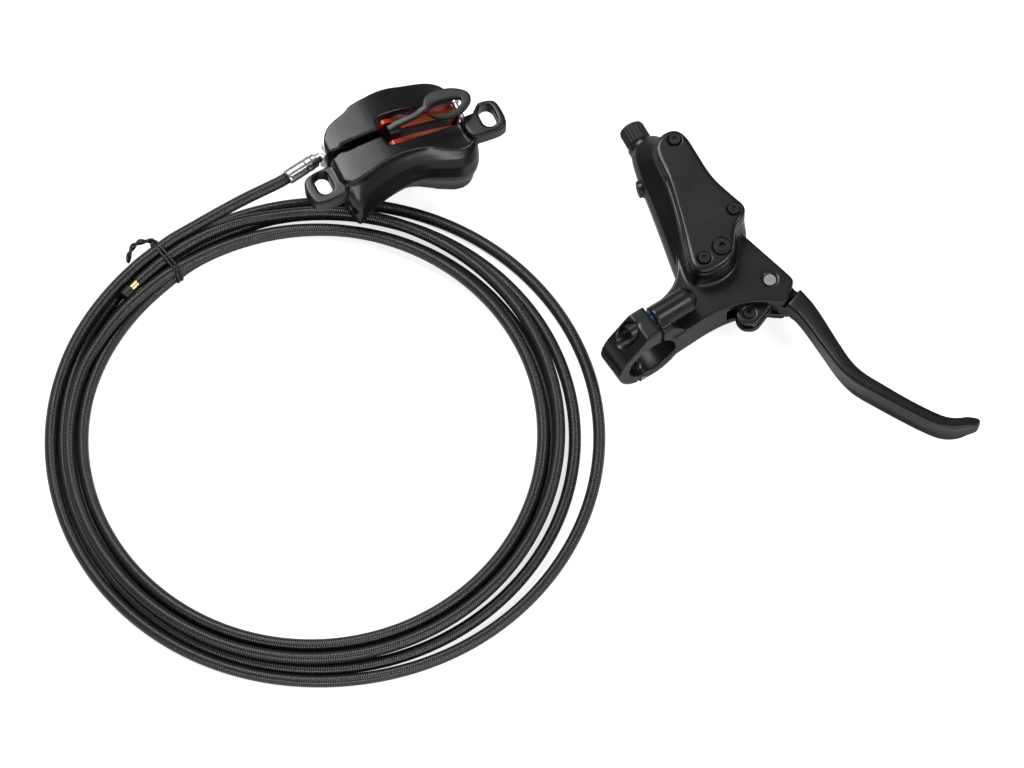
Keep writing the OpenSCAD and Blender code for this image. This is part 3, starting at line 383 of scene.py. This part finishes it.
# Blade in the lever's frame: place of its middle, thickness, height and depth of the hollow for the finger
BLADE_ROWS = [
    (16.5, 61.9, 9.2, 10.4, 0), (22, 62.7, 8.8, 10.4, 0), (31, 62.9, 7.9, 10.8, 0), (44, 62.2, 6.9, 11.8, 0),
    (55, 61.9, 6.3, 13.2, 0.1), (63, 63.3, 5.9, 14.6, 1.2), (72, 67, 5.5, 15, 1.8), (82, 71.4, 5.1, 15, 1.9),
    (91, 75.8, 5, 15, 1.8), (98, 79.9, 5, 14.4, 1.5), (101.8, 84, 4.9, 13, 0.9), (104, 88.2, 4.6, 10.4, 0.3),
    (106.4, 91.2, 3.6, 7, 0), (107.1, 92, 1.4, 3, 0)]
BLADE_TOP = 7
PIVOT = (7.2, 58.1)
SHOULDER_R = 12.7
# Across the blade, as shares of thickness and height; the third number is the share of the hollow's depth
BLADE_SECTION = [
    (0.5, -0.16, 0), (0.5, -0.5, 0), (0.5, -0.84, 0), (0.42, -0.95, 0), (0.2, -1, 0), (-0.2, -1, 0), (-0.42, -0.96, 0),
    (-0.5, -0.88, 0), (-0.5, -0.74, 0.75), (-0.5, -0.5, 1), (-0.5, -0.28, 0.75), (-0.5, -0.12, 0), (-0.46, -0.03, 0),
    (-0.36, 0, 0), (0, 0.01, 0), (0.36, 0, 0), (0.47, -0.04, 0)]


def blade_shape(bm):
    """Keeps the CAD blade's root with its fork, and gives it a bar with a flat top and a hollow finger side.

    Each ring is the section scaled by thickness and height; the first rings follow a circle round the pivot.
    """
    cut = in_lever([20, 60, 0]) * MM
    along = turned([1, 0, 0], LEVER_TURN)
    bmesh.ops.bisect_plane(bm, geom=bm.verts[:] + bm.edges[:] + bm.faces[:], plane_co=cut, plane_no=along,
                           clear_outer=True)
    bmesh.ops.holes_fill(bm, edges=bm.edges)
    rows = smooth_line(BLADE_ROWS, 1.2)
    middle, thick, high, hollow = rows[:, :2], rows[:, 2:3], rows[:, 3:4], rows[:, 4:5]
    heading = unit(np.gradient(middle, axis=0))
    side = np.column_stack([-heading[:, 1], heading[:, 0]])
    section = np.array(BLADE_SECTION)
    across = section[None, :, 0] * thick + section[None, :, 2] * np.maximum(hollow, 0)
    flat = middle[:, None] + side[:, None] * across[..., None]
    for row, radius in enumerate((SHOULDER_R, SHOULDER_R + 1.3, SHOULDER_R + 2.6)):
        flat[row, :, 0] = PIVOT[0] + np.sqrt(radius ** 2 - (flat[row, :, 1] - PIVOT[1]) ** 2)
    start = np.argmax(middle[:, 0] > PIVOT[0] + SHOULDER_R + 4.5)
    keep = [0, 1, 2] + list(range(start, len(flat)))
    points = np.dstack([flat, BLADE_TOP + section[None, :, 1] * high])[keep]
    bar = grid_piece("blade_bar", in_lever(points))
    bm.from_mesh(bar.data)
    bpy.data.objects.remove(bar)


SWITCH_BOSS_AT = (-59, 41.5)
SWITCH_BOSS_TURN = 252


def housing_shape(bm):
    """Draws the boss for a switch in: beyond 2.2 mm along its axis, distances shrink to a fifth."""
    a = math.radians(SWITCH_BOSS_TURN)
    axis = np.array([math.cos(a), math.sin(a)])
    for vert in bm.verts:
        local = turned(np.array(vert.co) / MM - np.array(LEVER_AT), -LEVER_TURN)
        out = local[:2] - np.array(SWITCH_BOSS_AT)
        far = out @ axis
        wide = math.hypot(np.linalg.norm(out - far * axis), local[2])
        if far > 2.2 and wide < 4.2:
            local[:2] -= axis * (far - 2.2) * 0.8
            vert.co = in_lever(local) * MM


# Nodes of each skin, its body, voxel size, passes of the relaxing and a change of shape that comes first
SKINS = {
    "lever_body": (["lever_body"], "brake_set", 0.5, 5, housing_shape),
    "clamp_strap": (["clamp_strap"], "brake_set", 0.4, 9, None),
    "lever_blade": (["lever_blade"], "lever", 0.45, 5, blade_shape),
    "caliper": (["caliper_near_half", "caliper_far_half"], "brake_set", 0.45, 7, None),
    "reservoir_cover": (["reservoir_cover"], "brake_set", 0.3, 4, None),
    "transport_spacer": (["transport_spacer"], "brake_set", 0.3, 6, None),
}
skins = {}
for name, (nodes, *settings) in SKINS.items():
    skin = cast_skin(name, nodes, *settings)
    skins.update({node: skin for node in nodes})

# Crimped sleeve with its raised band and a shallow groove


def on_fitting(points):
    """Along the hose fitting's axis from the banjo's middle, to the model's frame."""
    return in_caliper(turned(points, FITTING_TURN) + np.array(BANJO_AT))


SLEEVE_PROFILE = [(7, 0), (7, 2.6), (7.4, 3), (9.2, 3), (9.5, 3.2), (11.3, 3.2), (11.7, 3.05), (12.3, 3.05), (12.7, 3.2),
                  (20.6, 3.2), (21.2, 3.05), (21.5, 2.7), (21.5, 0)]
sleeve = revolved("crimp_sleeve_bright", fine_rows(SLEEVE_PROFILE, 0.25), on_fitting, sides=64)
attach(sleeve, "brake_set")
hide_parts("crimp_sleeve")

# Rubber cap on the hose port


def on_cylinder(points):
    """Along the master cylinder's axis from its mouth, to the model's frame."""
    return in_lever(turned(points, CYLINDER_TURN) + np.array(CYLINDER_MOUTH))


CAP_PROFILE = [(78.55, 0), (78.55, 4.7), (78.9, 5.2), (79.6, 5.35), (86.2, 5.3), (87.1, 5), (87.5, 4.3), (87.6, 0)]
# Knurls from the first to the second place along the axis, their depth and number
CAP_KNURLS = (79.6, 86.5, 0.12, 24)
port_cap = revolved("port_cap", fine_rows(CAP_PROFILE, 0.4), on_cylinder, sides=192, ripple=CAP_KNURLS)
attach(port_cap, "brake_set")
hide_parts("port_plug")

# Return spring, which the piston presses towards the port


def add_return_spring():
    """Copy of the CAD spring as one mesh of its own, on the brake set."""
    mesh = merged_copy("return_spring_coil", ["return_spring"])
    piece = link(bpy.data.objects.new("return_spring_coil", mesh))
    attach(piece, "brake_set")
    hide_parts("return_spring")
    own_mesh(piece)
    return piece


skins["return_spring"] = add_return_spring()

# Materials


def nodes_of(material):
    material.use_nodes = True
    tree = material.node_tree
    tree.nodes.clear()
    shader = tree.nodes.new("ShaderNodeBsdfPrincipled")
    output = tree.nodes.new("ShaderNodeOutputMaterial")
    tree.links.new(shader.outputs["BSDF"], output.inputs["Surface"])
    return tree, shader


def make_group(name, inputs, outputs):
    """Empty shader group with float inputs, each with a default, vector inputs where the default is None, and float
    outputs.
    """
    group = bpy.data.node_groups.new(name, "ShaderNodeTree")
    for socket, value in inputs.items():
        kind = "NodeSocketVector" if value is None else "NodeSocketFloat"
        made = group.interface.new_socket(name=socket, in_out="INPUT", socket_type=kind)
        if value is not None:
            made.default_value = value
    for socket in outputs:
        group.interface.new_socket(name=socket, in_out="OUTPUT", socket_type="NodeSocketFloat")
    return group, group.nodes.new("NodeGroupInput"), group.nodes.new("NodeGroupOutput")


def math_node(tree, operation, a, b):
    """Math node whose inputs are sockets or numbers."""
    node = tree.nodes.new("ShaderNodeMath")
    node.operation = operation
    for place, value in enumerate((a, b)):
        if isinstance(value, (int, float)):
            node.inputs[place].default_value = value
        else:
            tree.links.new(value, node.inputs[place])
    return node.outputs[0]


def paint_grain_group():
    """Fine orange peel of a sprayed casting: two noises of different scale make a height and a patchiness."""
    inputs = {"Position": None, "Grain per metre": 2600.0, "Patch per metre": 60.0}
    group, given, result = make_group("Paint grain", inputs, ["Height", "Patch"])
    fine = group.nodes.new("ShaderNodeTexNoise")
    broad = group.nodes.new("ShaderNodeTexNoise")
    fine.inputs["Detail"].default_value = 3
    broad.inputs["Detail"].default_value = 2
    for noise, scale in ((fine, "Grain per metre"), (broad, "Patch per metre")):
        group.links.new(given.outputs["Position"], noise.inputs["Vector"])
        group.links.new(given.outputs[scale], noise.inputs["Scale"])
    group.links.new(fine.outputs["Fac"], result.inputs["Height"])
    group.links.new(broad.outputs["Fac"], result.inputs["Patch"])
    return group


PAINT_GRAIN = paint_grain_group()


def add_group(tree, group, **values):
    node = tree.nodes.new("ShaderNodeGroup")
    node.node_tree = group
    for name, value in values.items():
        node.inputs[name.replace("_", " ")].default_value = value
    return node


def grained(name, color, roughness, grain=2600.0, bump=0.08, spread=0.08, metallic=0.0, coat=0.0, specular=0.5):
    """Finish with a fine grain in its height and a soft change of roughness from place to place."""
    material = bpy.data.materials.new(name)
    tree, shader = nodes_of(material)
    place = tree.nodes.new("ShaderNodeTexCoord").outputs["Object"]
    texture = add_group(tree, PAINT_GRAIN, Grain_per_metre=grain)
    tree.links.new(place, texture.inputs["Position"])
    rough = tree.nodes.new("ShaderNodeMapRange")
    rough.inputs["To Min"].default_value = roughness - spread
    rough.inputs["To Max"].default_value = roughness + spread
    tree.links.new(texture.outputs["Patch"], rough.inputs["Value"])
    tree.links.new(rough.outputs["Result"], shader.inputs["Roughness"])
    height = tree.nodes.new("ShaderNodeBump")
    height.inputs["Strength"].default_value = bump
    height.inputs["Distance"].default_value = 0.0002
    tree.links.new(texture.outputs["Height"], height.inputs["Height"])
    tree.links.new(height.outputs["Normal"], shader.inputs["Normal"])
    tone = tree.nodes.new("ShaderNodeMix")
    tone.data_type = "RGBA"
    tone.inputs["A"].default_value = (*[c * 0.85 for c in color], 1)
    tone.inputs["B"].default_value = (*[min(c * 1.15, 1) for c in color], 1)
    tree.links.new(texture.outputs["Patch"], tone.inputs["Factor"])
    tree.links.new(tone.outputs["Result"], shader.inputs["Base Color"])
    shader.inputs["Metallic"].default_value = metallic
    shader.inputs["Coat Weight"].default_value = coat
    shader.inputs["Specular IOR Level"].default_value = specular
    return material


def hose_finish():
    """Black hose whose jacket shows the close rings of the braid under it, from the length along the hose."""
    material = bpy.data.materials.new("Black hose")
    tree, shader = nodes_of(material)
    uv = tree.nodes.new("ShaderNodeUVMap")
    uv.uv_map = "UVMap"
    split = tree.nodes.new("ShaderNodeSeparateXYZ")
    tree.links.new(uv.outputs["UV"], split.inputs["Vector"])
    phase = math_node(tree, "MULTIPLY", split.outputs["X"], 2 * math.pi / (RING_PITCH * MM))
    wave = math_node(tree, "SINE", phase, 0)
    height = tree.nodes.new("ShaderNodeBump")
    height.inputs["Strength"].default_value = 0.6
    height.inputs["Distance"].default_value = 0.0001
    tree.links.new(wave, height.inputs["Height"])
    tree.links.new(height.outputs["Normal"], shader.inputs["Normal"])
    shade = tree.nodes.new("ShaderNodeMapRange")
    shade.inputs["From Min"].default_value = -1
    shade.inputs["To Min"].default_value = 0.38
    shade.inputs["To Max"].default_value = 0.24
    tree.links.new(wave, shade.inputs["Value"])
    tree.links.new(shade.outputs["Result"], shader.inputs["Roughness"])
    shader.inputs["Base Color"].default_value = (0.011, 0.011, 0.0115, 1)
    shader.inputs["Specular IOR Level"].default_value = 0.7
    return material


def banded(name, base, band, turn, origin, low, high, roughness, metallic=0.0):
    """Finish with a second colour between two places along one axis of a turned frame, both in millimetres."""
    material = grained(name, base, roughness, metallic=metallic)
    tree = material.node_tree
    shader = next(n for n in tree.nodes if n.type == "BSDF_PRINCIPLED")
    place = tree.nodes.new("ShaderNodeTexCoord").outputs["Object"]
    frame_turn = tree.nodes.new("ShaderNodeMapping")
    frame_turn.vector_type = "TEXTURE"
    frame_turn.inputs["Location"].default_value = [v * MM for v in origin]
    frame_turn.inputs["Rotation"].default_value = (0, 0, math.radians(turn))
    tree.links.new(place, frame_turn.inputs["Vector"])
    split = tree.nodes.new("ShaderNodeSeparateXYZ")
    tree.links.new(frame_turn.outputs["Vector"], split.inputs["Vector"])
    above = math_node(tree, "GREATER_THAN", split.outputs["Y"], low * MM)
    below = math_node(tree, "LESS_THAN", split.outputs["Y"], high * MM)
    inside = math_node(tree, "MULTIPLY", above, below)
    blend = tree.nodes.new("ShaderNodeMix")
    blend.data_type = "RGBA"
    tree.links.new(inside, blend.inputs["Factor"])
    before = shader.inputs["Base Color"].links[0].from_socket
    tree.links.new(before, blend.inputs["A"])
    blend.inputs["B"].default_value = (*band, 1)
    tree.links.new(blend.outputs["Result"], shader.inputs["Base Color"])
    return material


LINING_RED = (0.33, 0.05, 0.022)
FINISHES = {
    "black_paint": grained("Satin black casting", (0.004, 0.004, 0.0042), 0.3, bump=0.1, specular=0.5),
    "black_rubber": grained("Black rubber", (0.012, 0.012, 0.012), 0.5, grain=1400.0, specular=0.4),
    "black_steel": grained("Black screw steel", (0.008, 0.008, 0.009), 0.2, spread=0.04,
                           specular=0.9),
    "bare_steel": grained("Bare steel", (0.62, 0.62, 0.63), 0.3, metallic=1.0),
    "bright_plate": grained("Bright plate", (0.6, 0.6, 0.61), 0.3, metallic=1.0, spread=0.03, bump=0.02),
    "piston_alloy": grained("Piston alloy", (0.6, 0.6, 0.62), 0.35, metallic=1.0),
    "red_paint": grained("Red plate paint", (0.5, 0.03, 0.008), 0.3, coat=0.3),
    "lining": grained("Friction lining", LINING_RED, 0.6, grain=900.0, bump=0.4),
    "black_plastic": grained("Black plastic", (0.009, 0.009, 0.0095), 0.36, specular=0.45),
    "black_hose": hose_finish(),
    "brass": grained("Brass", (0.72, 0.48, 0.16), 0.22, metallic=1.0),
    "bush_bronze": grained("Bush bronze", (0.55, 0.38, 0.2), 0.35, metallic=1.0),
    "copper": grained("Washer metal", (0.5, 0.47, 0.45), 0.4, metallic=1.0),
    "spring_leaf": grained("Spring leaf", (0.55, 0.5, 0.28), 0.3, metallic=1.0),
    "tie_wire": grained("Tie coating", (0.012, 0.012, 0.012), 0.4, grain=1200.0),
}


def dress(piece, material):
    piece.data.materials.clear()
    piece.data.materials.append(material)


for part in frame["record"]["subparts"]:
    dress(frame["nodes"][part["node"]], FINISHES[part["material_slot"]])
    if part["node"] in skins:
        dress(skins[part["node"]], FINISHES[part["material_slot"]])
dress(hose, FINISHES["black_hose"])
dress(sleeve, FINISHES["bright_plate"])
dress(port_cap, FINISHES["black_rubber"])
for wire in tie_pieces:
    dress(wire, FINISHES["tie_wire"])

# Pads: a thin golden layer between the red plate and the lining, on both sides of the disc
for node, low, high in (("near_pad_lining", -10, 6.2), ("far_pad_lining", 13.8, 30)):
    dress(frame["nodes"][node], banded(f"{node} layers", LINING_RED, (0.3, 0.26, 0.06), CALIPER_TURN,
                                       CALIPER_AT, low, high, 0.6))
# Thread lock on the clamp bolt
dress(frame["nodes"]["clamp_bolt"], banded("Bolt with thread lock", (0.008, 0.008, 0.009), (0.008, 0.05, 0.2),
                                           LEVER_TURN, LEVER_AT, 3.8, 9, 0.3))

# Floor and light

FLOOR_TONE = 0.72
FLOOR_LIFT = 0.72
SKY_STRENGTH = 0.2


def add_floor():
    """Pale floor; what the camera sees of it is lifted to white, and it keeps the shadow."""
    mesh = bpy.data.meshes.new("Floor")
    half = 3.0
    mesh.from_pydata([(-half, -half, 0), (half, -half, 0), (half, half, 0), (-half, half, 0)], [], [(0, 1, 2, 3)])
    floor = link(bpy.data.objects.new("Floor", mesh))
    material = bpy.data.materials.new("White floor")
    tree, shader = nodes_of(material)
    shader.inputs["Base Color"].default_value = (FLOOR_TONE, FLOOR_TONE, FLOOR_TONE, 1)
    shader.inputs["Roughness"].default_value = 0.8
    shader.inputs["Specular IOR Level"].default_value = 0.1
    rays = tree.nodes.new("ShaderNodeLightPath")
    lift = math_node(tree, "MULTIPLY", rays.outputs["Is Camera Ray"], FLOOR_LIFT)
    glow = tree.nodes.new("ShaderNodeEmission")
    tree.links.new(lift, glow.inputs["Strength"])
    both = tree.nodes.new("ShaderNodeAddShader")
    tree.links.new(shader.outputs["BSDF"], both.inputs[0])
    tree.links.new(glow.outputs["Emission"], both.inputs[1])
    output = next(n for n in tree.nodes if n.type == "OUTPUT_MATERIAL")
    tree.links.new(both.outputs["Shader"], output.inputs["Surface"])
    mesh.materials.append(material)


def add_panel(name, place, aim, size, power):
    """Soft rectangular lamp that faces a point; places in metres."""
    data = bpy.data.lights.new(name, "AREA")
    data.shape = "RECTANGLE"
    data.size, data.size_y = size
    data.energy = power
    lamp = link(bpy.data.objects.new(name, data))
    away = np.array(place, float) - np.array(aim, float)
    lamp.location = place
    lamp.rotation_euler = (math.atan2(math.hypot(away[0], away[1]), away[2]), 0, math.atan2(away[0], -away[1]))


def add_world():
    world = bpy.data.worlds.new("Studio")
    bpy.context.scene.world = world
    world.use_nodes = True
    tree = world.node_tree
    tree.nodes.clear()
    sky = tree.nodes.new("ShaderNodeBackground")
    sky.inputs["Color"].default_value = (1, 1, 1, 1)
    sky.inputs["Strength"].default_value = SKY_STRENGTH
    output = tree.nodes.new("ShaderNodeOutputWorld")
    tree.links.new(sky.outputs["Background"], output.inputs["Surface"])


add_floor()
add_world()
add_panel("Key panel", (-0.6, 0.6, 1.2), (0, 0, 0), (0.8, 0.7), 14)
add_panel("Fill panel", (0.9, -0.3, 1.1), (0, 0, 0), (0.5, 0.6), 7)
add_panel("Front panel", (0.25, -1.3, 0.55), (0, 0, 0), (1.2, 0.35), 9)
bpy.context.scene.view_settings.view_transform = "Standard"
